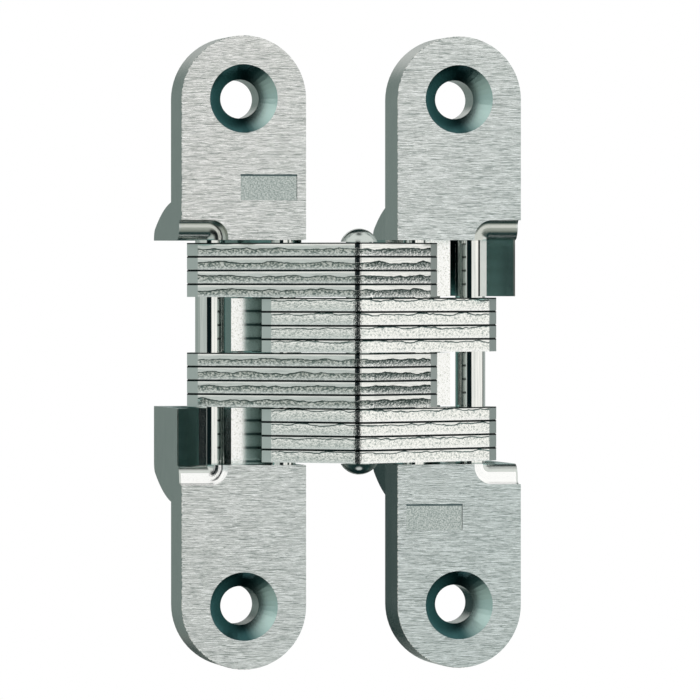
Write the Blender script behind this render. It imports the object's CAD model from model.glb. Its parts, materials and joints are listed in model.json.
import json
import math

import bmesh
import bpy
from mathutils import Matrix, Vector

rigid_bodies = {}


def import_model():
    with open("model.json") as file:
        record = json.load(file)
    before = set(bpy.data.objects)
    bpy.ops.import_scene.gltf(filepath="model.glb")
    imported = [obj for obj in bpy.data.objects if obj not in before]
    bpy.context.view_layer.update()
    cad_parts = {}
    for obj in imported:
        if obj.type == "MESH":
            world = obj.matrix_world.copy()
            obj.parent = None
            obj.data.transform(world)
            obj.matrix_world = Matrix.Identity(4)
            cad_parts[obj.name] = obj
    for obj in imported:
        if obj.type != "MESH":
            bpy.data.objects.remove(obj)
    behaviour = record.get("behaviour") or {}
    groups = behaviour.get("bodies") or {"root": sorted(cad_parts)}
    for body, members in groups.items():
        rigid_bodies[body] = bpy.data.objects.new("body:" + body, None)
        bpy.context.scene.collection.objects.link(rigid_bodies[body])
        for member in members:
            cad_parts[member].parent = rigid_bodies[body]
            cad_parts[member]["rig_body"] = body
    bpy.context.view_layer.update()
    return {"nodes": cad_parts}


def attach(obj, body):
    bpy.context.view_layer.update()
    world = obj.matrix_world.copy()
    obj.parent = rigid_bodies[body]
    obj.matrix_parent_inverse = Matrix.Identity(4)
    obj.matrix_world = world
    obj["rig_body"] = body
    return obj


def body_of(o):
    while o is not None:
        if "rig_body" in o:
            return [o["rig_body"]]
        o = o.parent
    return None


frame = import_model()

# Camera: the hinge stands open before a white ground and is seen from its left,
# a little above its middle, through a long lens.
MM = 0.001
VIEW_AZIMUTH, VIEW_ELEVATION = math.radians(-9.92), math.radians(0.53)
VIEW_TARGET = Vector((16.14, 0, 0.37)) * MM
VIEW_DISTANCE = 1200 * MM
FOCAL_PIXELS, PHOTO_PIXELS = 7986, 700

scene = bpy.context.scene
scene.view_settings.view_transform = "Standard"


def direction(azimuth, elevation):
    """Unit vector from the hinge, azimuth turning from its front to its right."""
    return Vector((math.sin(azimuth) * math.cos(elevation),
                   -math.cos(azimuth) * math.cos(elevation), math.sin(elevation)))


camera = bpy.data.objects.new("camera", bpy.data.cameras.new("camera"))
scene.collection.objects.link(camera)
towards_camera = direction(VIEW_AZIMUTH, VIEW_ELEVATION)
camera.location = VIEW_TARGET + towards_camera * VIEW_DISTANCE
camera.rotation_euler = (-towards_camera).to_track_quat("-Z", "Y").to_euler()
camera.data.sensor_width = 36
camera.data.lens = FOCAL_PIXELS / PHOTO_PIXELS * camera.data.sensor_width
camera.data.clip_end = 20
scene.camera = camera

# Light tent: white cloth above and to the right, duller cloth to the left and
# behind, a dark slit for the camera and a dim tan ground. Bright metal looks like
# what stands round it, so most of what the hinge shows is this tent.
WHITE = "#ffffff"
TENT_RADIUS = 2.4
SLIT_LEFT, SLIT_RIGHT = -36, 0
SEAM, SEAM_HALF = 24, 1.5


def linear(hex_colour):
    """An sRGB hex colour as linear RGBA."""
    parts = [int(hex_colour[i:i + 2], 16) / 255 for i in (1, 3, 5)]
    return [c / 12.92 if c <= 0.04045 else ((c + 0.055) / 1.055) ** 2.4 for c in parts] + [1]


def add(tree, kind, inputs=None, stops=None, **settings):
    """Adds a node with its settings, socket values, links and colour stops."""
    node = tree.nodes.new(kind)
    for name, value in settings.items():
        setattr(node, name, value)
    for key, value in (inputs or {}).items():
        if isinstance(value, bpy.types.NodeSocket):
            tree.links.new(value, node.inputs[key])
        else:
            node.inputs[key].default_value = value
    if stops:
        elements = node.color_ramp.elements
        while len(elements) < len(stops):
            elements.new(1)
        for element, (position, hex_colour) in zip(elements, stops):
            element.position = position
            element.color = linear(hex_colour)
    return node


def new_material(name):
    """An empty material, and its node tree."""
    material = bpy.data.materials.new(name)
    material.use_nodes = True
    material.node_tree.nodes.clear()
    return material, material.node_tree


def mix(tree, share, first, second):
    """Mixes two colours by a share, each a socket or a hex colour."""
    first, second = (linear(c) if isinstance(c, str) else c for c in (first, second))
    return add(tree, "ShaderNodeMix", {0: share, 6: first, 7: second}, data_type="RGBA").outputs[2]


def between(tree, value, low, high):
    """A share that goes from 0 at low to 1 at high, eased at both ends."""
    return add(tree, "ShaderNodeMapRange", {"Value": value, 1: low, 2: high},
               interpolation_type="SMOOTHSTEP").outputs[0]


def sums(tree, operation, *values):
    """A maths node on values or sockets."""
    return add(tree, "ShaderNodeMath", dict(enumerate(values)), operation=operation).outputs[0]


world = bpy.data.worlds.new("white_ground")
world.use_nodes = True
world.node_tree.nodes["Background"].inputs["Color"].default_value = linear(WHITE)
scene.world = world

cloth, tree = new_material("tent_cloth")
place = add(tree, "ShaderNodeTexCoord")
way = add(tree, "ShaderNodeVectorMath", {0: place.outputs["Object"]}, operation="NORMALIZE").outputs[0]
way_x, way_y, way_z = add(tree, "ShaderNodeSeparateXYZ", {0: way}).outputs
azimuth = sums(tree, "ARCTAN2", way_x, sums(tree, "MULTIPLY", way_y, -1.0))
share = add(tree, "ShaderNodeMapRange", {"Value": azimuth, 1: -math.pi, 2: math.pi}).outputs[0]
around_degrees = [(-180, "#5f6d6a"), (-172, "#77847f"), (-160, "#8f9b98"), (-96, "#a3adaa"), (-92, "#c3cbc8"),
                  (SLIT_LEFT - 1, "#c3cbc8"), (SLIT_LEFT + 1, "#0a1719"), (SLIT_RIGHT - 1, "#0a1719"),
                  (SLIT_RIGHT + 1, "#fffffc"), (SEAM - SEAM_HALF, "#fffffc"), (SEAM, "#8f9f9f"),
                  (SEAM + SEAM_HALF, "#fffffc"), (96, "#fffffc"), (99, "#1c3433"), (108, "#1c3433"),
                  (112, "#b4bcba"), (165, "#a4adab"), (180, "#5f6d6a")]
around = add(tree, "ShaderNodeValToRGB", {0: share},
             [((degrees + 180) / 360, colour) for degrees, colour in around_degrees]).outputs[0]
lift = add(tree, "ShaderNodeMapRange", {"Value": way_z, 1: -1, 2: 1}).outputs[0]
above_below = add(tree, "ShaderNodeValToRGB", {0: lift},
                  [(0.0, "#1c3332"), (0.12, "#2c4443"), (0.17, "#a9aea8"), (0.40, "#c3c8c2"),
                   (0.56, "#fffffc"), (0.98, "#fffffc"), (1.0, "#0a1d1d")]).outputs[0]
low_right = sums(tree, "MULTIPLY", between(tree, way_x, 0.3, 0.7), between(tree, way_z, -0.05, -0.2))
above_below = mix(tree, sums(tree, "MULTIPLY", low_right, 0.8), above_below, "#1b3a39")
level = between(tree, sums(tree, "ABSOLUTE", way_z), 0.28, 0.16)
slit = sums(tree, "MULTIPLY", between(tree, azimuth, math.radians(SLIT_LEFT - 1), math.radians(SLIT_LEFT + 1)),
            between(tree, azimuth, math.radians(SLIT_RIGHT + 1), math.radians(SLIT_RIGHT - 1)))
slit = sums(tree, "MULTIPLY", slit, between(tree, sums(tree, "ABSOLUTE", way_z), 0.8, 0.6))
above_below = mix(tree, slit, above_below, "#0a1719")
cloth_colour = mix(tree, level, above_below, around)
ring = sums(tree, "MULTIPLY", between(tree, way_y, 0.20, 0.34), between(tree, way_y, 0.90, 0.80))
ring = sums(tree, "MULTIPLY", ring, sums(tree, "SUBTRACT", 1.0, level))
cloth_colour = mix(tree, ring, cloth_colour, "#0e2828")
glow = add(tree, "ShaderNodeEmission", {"Color": cloth_colour})
add(tree, "ShaderNodeOutputMaterial", {"Surface": glow.outputs[0]})


def stand(name, material, build, place):
    """A mesh made by build that stands in the studio, unseen by the camera itself."""
    mesh = bpy.data.meshes.new(name)
    shape = bmesh.new()
    build(shape)
    shape.to_mesh(mesh)
    shape.free()
    mesh.materials.append(material)
    thing = bpy.data.objects.new(name, mesh)
    thing.location = place
    scene.collection.objects.link(thing)
    return thing


tent = stand("light_tent", cloth, lambda shape: bmesh.ops.create_icosphere(shape, subdivisions=4, radius=TENT_RADIUS),
             VIEW_TARGET)
tent.visible_camera = False

# Flag: a dark card behind and below the hinge, which the lower part of the right
# leaf's left flank shows.
FLAG_MIDDLE = Vector((13, 155, -48)) * MM
FLAG_SIZE = Vector((62, 1, 73)) * MM
dark_card, tree = new_material("dark_card")
glow = add(tree, "ShaderNodeEmission", {"Color": linear("#122c2b")})
add(tree, "ShaderNodeOutputMaterial", {"Surface": glow.outputs[0]})
flag = stand("flag", dark_card, lambda shape: bmesh.ops.create_cube(shape, size=1), FLAG_MIDDLE)
flag.scale = FLAG_SIZE
flag.visible_camera = flag.visible_shadow = flag.visible_diffuse = False

# Floor: a round of pale card far below the hinge, which hangs by its screws.
# It shows white, as the ground round the hinge does.
FLOOR_DROP, FLOOR_RADIUS = 1.0, 0.2
card, tree = new_material("white_card")
seen = add(tree, "ShaderNodeLightPath").outputs
by_eye = sums(tree, "MAXIMUM", seen["Is Camera Ray"], seen["Is Glossy Ray"])
by_eye = sums(tree, "MAXIMUM", by_eye, seen["Is Transmission Ray"])
matt = add(tree, "ShaderNodeBsdfDiffuse", {"Color": linear("#ecece8")})
plain = add(tree, "ShaderNodeEmission", {"Color": linear(WHITE)})
either = add(tree, "ShaderNodeMixShader", {0: by_eye, 1: matt.outputs[0], 2: plain.outputs[0]})
add(tree, "ShaderNodeOutputMaterial", {"Surface": either.outputs[0]})
stand("floor", card, lambda shape: bmesh.ops.create_circle(shape, cap_ends=True, segments=64, radius=FLOOR_RADIUS),
      VIEW_TARGET - Vector((0, 0, FLOOR_DROP)))

# Leaves: two like zinc die castings, nickel plated. Their faces are ground across
# on a belt, their flanks are smooth as plated, the floors of their wells keep the
# grainy skin of the die, and the countersinks are cut with a drill.
CAST_EDGE = 0.08
LEDGE_DEPTH = 9.6
LEAF_SPACING, SCREW_Z = 32.85, 38.1
SINK_RADIUS, SINK_DEPTH, SINK_SLOPE = 5.3, 4.2, 0.865
SURFACE_RELIEF = 0.016
WELL_HALF_WIDTH, WELL_HALF_HEIGHT, WELL_DEPTH = 9.2, 17, 26.5
# The belt's real scratches are about 0.02 mm wide, too fine to be seen at this size.
BELT_GRIT, BELT_SCRATCH = 0.06, 2.6
SKIN_GRAIN = 0.22
PANEL_Z, PANEL_LIP = 24.8, 1.68
COVE_LOW, COVE_HIGH, COVE_DEPTH = 16.5, 20.3, 2.6
BURR_FROM, BURR_GRAIN = 9.36, 0.3
PLATE_PITCH = 2.0675


def dress(node_name, material, edge, segments=2):
    """Gives a CAD node its material, and breaks its sharp edges by so many millimetres."""
    piece = frame["nodes"][node_name]
    piece.data.materials.clear()
    piece.data.materials.append(material)
    for polygon in piece.data.polygons:
        polygon.use_smooth = True
    rounding = piece.modifiers.new("broken_edges", "BEVEL")
    rounding.width = edge * MM
    rounding.segments = segments
    rounding.limit_method = "ANGLE"
    rounding.angle_limit = math.radians(28)
    rounding.use_clamp_overlap = True
    rounding.harden_normals = True
    return piece


def in_millimetres(tree):
    """Object coordinates in millimetres, with the direction that the surface faces."""
    place = add(tree, "ShaderNodeTexCoord")
    spot = add(tree, "ShaderNodeVectorMath", {0: place.outputs["Object"], 3: 1 / MM}, operation="SCALE")
    return spot.outputs[0], place.outputs["Normal"]


def grains(tree, spot, sizes, detail, roughness=0.55, stray=0):
    """Noise whose grains have the given sizes in millimetres along X, Y and Z, and stray by so many grains."""
    stretched = add(tree, "ShaderNodeVectorMath", {0: spot, 1: [1 / size for size in sizes]}, operation="MULTIPLY")
    return add(tree, "ShaderNodeTexNoise", {"Vector": stretched.outputs[0], "Scale": 1, "Detail": detail,
                                            "Roughness": roughness, "Distortion": stray}).outputs["Fac"]


def metal(tree, colour, rough, height=None, distance=MM):
    """The output of a tree as metal of one colour and roughness, raised by height times distance."""
    inputs = {"Base Color": colour, "Metallic": 1, "Roughness": rough}
    if height is not None:
        inputs["Normal"] = add(tree, "ShaderNodeBump", {"Height": height, "Distance": distance}).outputs[0]
    surface = add(tree, "ShaderNodeBsdfPrincipled", inputs).outputs[0]
    add(tree, "ShaderNodeOutputMaterial", {"Surface": surface})


plating, tree = new_material("nickel_plated_casting")
spot, facing = in_millimetres(tree)
x, y, z = add(tree, "ShaderNodeSeparateXYZ", {0: spot}).outputs
forward = sums(tree, "MULTIPLY", add(tree, "ShaderNodeSeparateXYZ", {0: facing}).outputs["Y"], -1.0)
square_on = sums(tree, "GREATER_THAN", forward, 0.93)
ground = sums(tree, "MULTIPLY", square_on, sums(tree, "LESS_THAN", y, 0.1))
skin = sums(tree, "MULTIPLY", square_on, sums(tree, "GREATER_THAN", y, LEDGE_DEPTH - 1))
panel = sums(tree, "SUBTRACT", sums(tree, "SUBTRACT", square_on, ground), skin)
panel = sums(tree, "MULTIPLY", panel, sums(tree, "GREATER_THAN", sums(tree, "ABSOLUTE", z), PANEL_Z - 3))
panel_rise = sums(tree, "SUBTRACT", z, sums(tree, "MULTIPLY", sums(tree, "SIGN", z), PANEL_Z))
panel_shade = sums(tree, "MULTIPLY", panel, sums(tree, "GREATER_THAN", panel_rise, PANEL_LIP))
across = sums(tree, "ABSOLUTE", sums(tree, "SUBTRACT", x, LEAF_SPACING / 2))
across = sums(tree, "SUBTRACT", across, LEAF_SPACING / 2)
along = sums(tree, "SUBTRACT", sums(tree, "ABSOLUTE", z), SCREW_Z)
out = sums(tree, "SQRT", sums(tree, "ADD", sums(tree, "MULTIPLY", across, across), sums(tree, "MULTIPLY", along, along)))
sunk = sums(tree, "MULTIPLY", sums(tree, "LESS_THAN", out, SINK_RADIUS), sums(tree, "LESS_THAN", y, SINK_DEPTH))
sunk = sums(tree, "MULTIPLY", sunk, sums(tree, "SUBTRACT", 1.0, square_on))
scratches = grains(tree, spot, (BELT_SCRATCH, BELT_SCRATCH, BELT_GRIT), 2, 0.6, 1.5)
grain = grains(tree, spot, (SKIN_GRAIN,) * 3, 3)
cloud = grains(tree, spot, (3, 3, 3), 5)
ground_colour = add(tree, "ShaderNodeValToRGB", {0: scratches},
                    [(0.38, "#8c9694"), (0.48, "#d4d7d3"), (0.55, "#ffffff")]).outputs[0]
skin_colour = add(tree, "ShaderNodeValToRGB", {0: grain},
                  [(0.32, "#d3d6d2"), (0.42, "#f8f8f5"), (0.6, "#ffffff")]).outputs[0]
panel_colour = add(tree, "ShaderNodeValToRGB", {0: grain}, [(0.35, "#8b9896"), (0.65, "#c9d0cd")]).outputs[0]
flank_colour = add(tree, "ShaderNodeValToRGB", {0: cloud}, [(0.3, "#cdd2cf"), (0.7, "#d6dad7")]).outputs[0]
colour = mix(tree, skin, flank_colour, skin_colour)
rubbed = sums(tree, "MULTIPLY", skin, sums(tree, "MULTIPLY", between(tree, x, 1.1, 2.1), between(tree, x, 12.0, 11.0)))
layer = sums(tree, "FRACT", sums(tree, "DIVIDE", z, PLATE_PITCH))
layer = sums(tree, "ABSOLUTE", sums(tree, "SUBTRACT", layer, 0.5))
rubbed_colour = mix(tree, between(tree, layer, 0.36, 0.46), "#a3b4b0", "#3b5250")
colour = mix(tree, rubbed, colour, rubbed_colour)
colour = mix(tree, panel, colour, panel_colour)
colour = mix(tree, panel_shade, colour, "#46585a")
duller = sums(tree, "MULTIPLY_ADD", sums(tree, "SUBTRACT", x, LEAF_SPACING / 2), 0.5 / LEAF_SPACING, 0.5)
duller = sums(tree, "MULTIPLY_ADD", z, -0.25 / SCREW_Z, duller)
dulled = add(tree, "ShaderNodeMix", {0: 1.0, 6: ground_colour, 7: mix(tree, duller, "#ffffff", "#e2ebec")},
             data_type="RGBA", blend_type="MULTIPLY").outputs[2]
hole_x = sums(tree, "MULTIPLY", sums(tree, "GREATER_THAN", x, LEAF_SPACING / 2), LEAF_SPACING)
left_right = sums(tree, "SUBTRACT", x, hole_x)
beyond = sums(tree, "MAXIMUM", along, 0.0)
spread = sums(tree, "SQRT", sums(tree, "ADD", sums(tree, "MULTIPLY", left_right, left_right),
                                 sums(tree, "MULTIPLY", beyond, beyond)))
burr = sums(tree, "MULTIPLY", sums(tree, "GREATER_THAN", spread, BURR_FROM), sums(tree, "LESS_THAN", left_right, 1.0))
specks = add(tree, "ShaderNodeValToRGB", {0: grains(tree, spot, (BURR_GRAIN,) * 3, 2)},
             [(0.42, "#7d8a88"), (0.5, "#c3c9c6"), (0.56, "#f4f4f0")]).outputs[0]
dulled = mix(tree, burr, dulled, specks)
colour = mix(tree, ground, colour, dulled)
inside = sums(tree, "MULTIPLY", sums(tree, "LESS_THAN", sums(tree, "ABSOLUTE", across), WELL_HALF_WIDTH),
              sums(tree, "LESS_THAN", sums(tree, "ABSOLUTE", z), WELL_HALF_HEIGHT))
inside = sums(tree, "MULTIPLY", inside, sums(tree, "GREATER_THAN", y, 0.3))
inside = sums(tree, "MULTIPLY", inside, sums(tree, "LESS_THAN", y, WELL_DEPTH))
inside = sums(tree, "MULTIPLY", inside, sums(tree, "SUBTRACT", 1.0, square_on))
colour = mix(tree, inside, colour, "#8cb2af")
cove = sums(tree, "MULTIPLY", sums(tree, "GREATER_THAN", sums(tree, "ABSOLUTE", z), COVE_LOW),
            sums(tree, "LESS_THAN", sums(tree, "ABSOLUTE", z), COVE_HIGH))
cove = sums(tree, "MULTIPLY", cove, sums(tree, "LESS_THAN", y, COVE_DEPTH))
cove = sums(tree, "MULTIPLY", cove, sums(tree, "LESS_THAN", sums(tree, "ABSOLUTE", across), WELL_HALF_WIDTH))
cove = sums(tree, "MULTIPLY", cove, sums(tree, "SUBTRACT", 1.0, ground))
colour = mix(tree, cove, colour, mix(tree, sums(tree, "GREATER_THAN", z, 0.0), "#ffffff", "#cdd0ca"))
sideways = sums(tree, "DIVIDE", left_right, sums(tree, "MAXIMUM", out, 0.01))
colour = mix(tree, sunk, colour, mix(tree, between(tree, sideways, 0.1, 0.95), "#3a6062", "#b5cfcb"))
rough = add(tree, "ShaderNodeMix", {0: square_on, 2: 0.22, 3: 0.17}).outputs[0]
rough = add(tree, "ShaderNodeMix", {0: sunk, 2: rough, 3: 0.26}).outputs[0]
relief = add(tree, "ShaderNodeMix", {0: ground, 2: grain, 3: scratches}).outputs[0]
relief = add(tree, "ShaderNodeMix", {0: square_on, 2: cloud, 3: relief}).outputs[0]
turned = sums(tree, "MULTIPLY", out, -SINK_SLOPE / SURFACE_RELIEF)
relief = add(tree, "ShaderNodeMix", {0: sunk, 2: relief, 3: turned}).outputs[0]
metal(tree, colour, rough, relief, SURFACE_RELIEF * MM)
for leaf in ("left_leaf", "right_leaf"):
    dress(leaf, plating, CAST_EDGE)

# Pins: hard drawn steel rod, ground and nickel plated, bright as mirrors. Two are
# fixed in blind sockets at the ends of the wells, two slide there in tracks.
PIN_EDGE = 0.2
bright, tree = new_material("bright_nickel_plate")
spot, facing = in_millimetres(tree)
drawn = grains(tree, spot, (0.3, 0.3, 9), 3)
bright_colour = add(tree, "ShaderNodeValToRGB", {0: drawn}, [(0.35, "#dfe1de"), (0.65, "#f4f4f0")]).outputs[0]
metal(tree, bright_colour, 0.07, drawn, 0.002 * MM)
for pin in ("left_pivot_pin", "right_pivot_pin", "left_slide_pin", "right_slide_pin"):
    dress(pin, bright, PIN_EDGE)

# Link plates: sixteen steel pressings in four sets, nickel plated. Round the rim of
# each, the punch left a smooth rolled band above, and below it the steel tore. The
# plates of every other set tore higher up, with a finer, brighter break.
PLATE_SETS, PLATES_IN_SET = 4, 4
PLATE_EDGE = 0.1
ROLL = 0.2
HEEL_TURN = 0.70
SEAM_BELOW, SEAM_ABOVE = 0.01, 0.12


def pressed_steel(name, smooth_share, torn_stops, tear_height, tear_slant, heel_colour):
    """Plated rim of a pressing: a smooth band beside a torn one, with a ragged border between."""
    material, tree = new_material(name)
    spot, facing = in_millimetres(tree)
    z = add(tree, "ShaderNodeSeparateXYZ", {0: spot}).outputs["Z"]
    face = add(tree, "ShaderNodeSeparateXYZ", {0: facing}).outputs
    rise = sums(tree, "FRACT", sums(tree, "DIVIDE", z, PLATE_PITCH))
    seam = sums(tree, "MAXIMUM", sums(tree, "LESS_THAN", rise, SEAM_BELOW),
                sums(tree, "GREATER_THAN", rise, 1 - SEAM_ABOVE))
    ragged = grains(tree, spot, (3.2, 3.2, 2.6), 3, 0.5)
    border = sums(tree, "MULTIPLY_ADD", ragged, 0.6, 1 - smooth_share - 0.3)
    past = sums(tree, "SUBTRACT", rise, border)
    rim = sums(tree, "LESS_THAN", sums(tree, "ABSOLUTE", face["Z"]), 0.8)
    working = sums(tree, "MULTIPLY", rim, sums(tree, "LESS_THAN", face["Y"], -HEEL_TURN))
    heel = sums(tree, "SUBTRACT", rim, working)
    smooth = add(tree, "ShaderNodeMapRange", {"Value": past, 1: -0.02, 2: 0.02}).outputs[0]
    torn = sums(tree, "MULTIPLY", working, sums(tree, "SUBTRACT", 1.0, smooth))
    lip = sums(tree, "MULTIPLY", torn, add(tree, "ShaderNodeMapRange", {"Value": past, 1: -0.09, 2: -0.04}).outputs[0])
    tears = grains(tree, spot, (0.42, 0.42, 0.26), 2, 0.6)
    torn_colour = add(tree, "ShaderNodeValToRGB", {0: tears}, torn_stops).outputs[0]
    torn_colour = mix(tree, sums(tree, "MULTIPLY", between(tree, rise, 0.3, 0.08), 0.6), torn_colour, WHITE)
    lines = grains(tree, spot, (3, 3, 0.2), 3)
    smooth_colour = add(tree, "ShaderNodeValToRGB", {0: lines}, [(0.3, "#dcdedb"), (0.7, "#fbfbf8")]).outputs[0]
    colour = mix(tree, torn, smooth_colour, torn_colour)
    colour = mix(tree, lip, colour, "#5c706d")
    colour = mix(tree, heel, colour, heel_colour)
    colour = mix(tree, sums(tree, "MULTIPLY", seam, rim), colour, "#0c1a1a")
    rough = add(tree, "ShaderNodeMix", {0: torn, 2: 0.14, 3: 0.2}).outputs[0]
    rough = add(tree, "ShaderNodeMix", {0: heel, 2: rough, 3: 0.36}).outputs[0]
    slant = sums(tree, "MULTIPLY", sums(tree, "MULTIPLY", rise, rise), tear_slant * PLATE_PITCH)
    torn_height = sums(tree, "MULTIPLY", torn, sums(tree, "MULTIPLY_ADD", tears, tear_height, slant))
    over = sums(tree, "MAXIMUM", sums(tree, "SUBTRACT", rise, 0.5), 0.0)
    rolled = sums(tree, "MULTIPLY", sums(tree, "MULTIPLY", over, over), -ROLL * PLATE_PITCH)
    rolled = sums(tree, "MULTIPLY", rolled, sums(tree, "SUBTRACT", working, torn))
    metal(tree, colour, rough, sums(tree, "ADD", torn_height, rolled))
    return material


coarse_rims = pressed_steel("coarse_torn_steel", 0.45,
                            [(0.34, "#657976"), (0.46, "#a9b1ae"), (0.58, "#f4f4f0"), (0.66, "#ffffff")],
                            0.07, 0.28, "#c9d1ce")
fine_rims = pressed_steel("fine_torn_steel", 0.2,
                          [(0.32, "#a9b2af"), (0.45, "#e2e4e0"), (0.6, "#fdfdf9")], 0.05, -0.1, "#ccd5d2")
for number in range(1, PLATE_SETS * PLATES_IN_SET + 1):
    coarse = (number - 1) // PLATES_IN_SET % 2 == 0
    dress(f"link_plate_{number:02d}", coarse_rims if coarse else fine_rims, PLATE_EDGE)

# Grease: a dark film pressed between neighbouring plates of a set. It lies a little
# back from their rims, and makes the black lines between them.
FILM_BACK, FILM_PLAY = 0.14, 0.005
grease, tree = new_material("dark_grease")
film_surface = add(tree, "ShaderNodeBsdfPrincipled", {"Base Color": linear("#0b1415"), "Roughness": 0.45})
add(tree, "ShaderNodeOutputMaterial", {"Surface": film_surface.outputs[0]})
for number in range(1, PLATE_SETS * PLATES_IN_SET):
    if number % PLATES_IN_SET == 0:
        continue
    plate, lower = (frame["nodes"][f"link_plate_{n:02d}"] for n in (number, number + 1))
    film_top = min(v.co.z for v in plate.data.vertices) - FILM_PLAY * MM
    film_bottom = max(v.co.z for v in lower.data.vertices) + FILM_PLAY * MM
    middle = sum(v.co.z for v in plate.data.vertices) / len(plate.data.vertices)
    shape = bmesh.new()
    shape.from_mesh(plate.data)
    for vertex in shape.verts:
        outwards = sum((f.normal for f in vertex.link_faces if abs(f.normal.z) < 0.5), Vector()).normalized()
        vertex.co -= outwards * FILM_BACK * MM
        vertex.co.z = film_top if vertex.co.z > middle else film_bottom
    film_mesh = bpy.data.meshes.new(f"grease_film_{number:02d}")
    shape.to_mesh(film_mesh)
    shape.free()
    film_mesh.materials.clear()
    film_mesh.materials.append(grease)
    film = bpy.data.objects.new(f"grease_film_{number:02d}", film_mesh)
    scene.collection.objects.link(film)
    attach(film, body_of(plate)[0])

# Centre rivet: it holds the sixteen plates together. Its ends are peened to low
# domes and polished, then plated with the rest.
RIVET_EDGE = 0.08
peened, tree = new_material("peened_nickel_plate")
metal(tree, linear("#c9d0cd"), 0.2)
dress("centre_rivet", peened, RIVET_EDGE)
